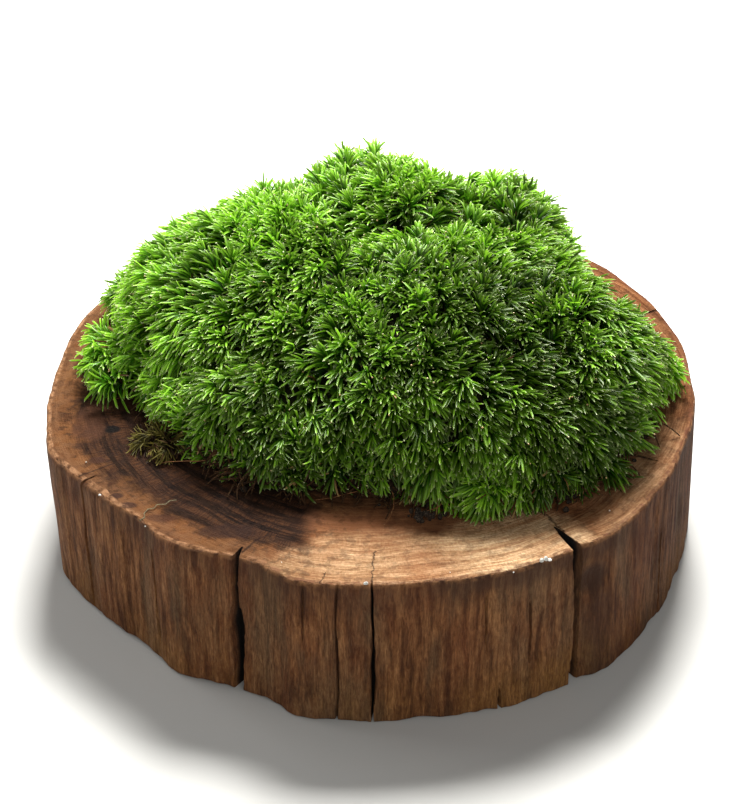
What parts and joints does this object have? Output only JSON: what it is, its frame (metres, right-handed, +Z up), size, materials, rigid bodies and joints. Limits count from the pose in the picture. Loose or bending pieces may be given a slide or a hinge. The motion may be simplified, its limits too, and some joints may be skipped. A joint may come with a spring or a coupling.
{
  "type": "moss clump",
  "caption": "Domed cushion of living moss on its root mat, with small side tufts, resting on a cracked slice of log.",
  "frame": {"origin": "on the underside of the wood slice, straight below the heart of its top face", "axes": "+Z up, out of the slice's top; +X along the clump's long way, to the right of the side it is seen from; -Y towards that side"},
  "size_m": [0.1394, 0.141, 0.0717],
  "materials": {
    "weathered_wood": "sawn, dry and cracked",
    "fresh_moss": "moist, slightly glossy leaves",
    "old_moss": "dry and matt",
    "dark_soil": "matt, crumbly"
  },
  "bodies": {
    "root": {"wood_slice": "weathered_wood", "soil_mat": "dark_soil", "moss_cushion": "fresh_moss", "left_tuft": "fresh_moss", "left_back_tuft": "fresh_moss", "right_tuft": "fresh_moss", "right_back_tuft": "fresh_moss", "front_tuft": "fresh_moss", "old_tuft": "old_moss", "soil_crumb": "dark_soil"}
  },
  "joints": []
}
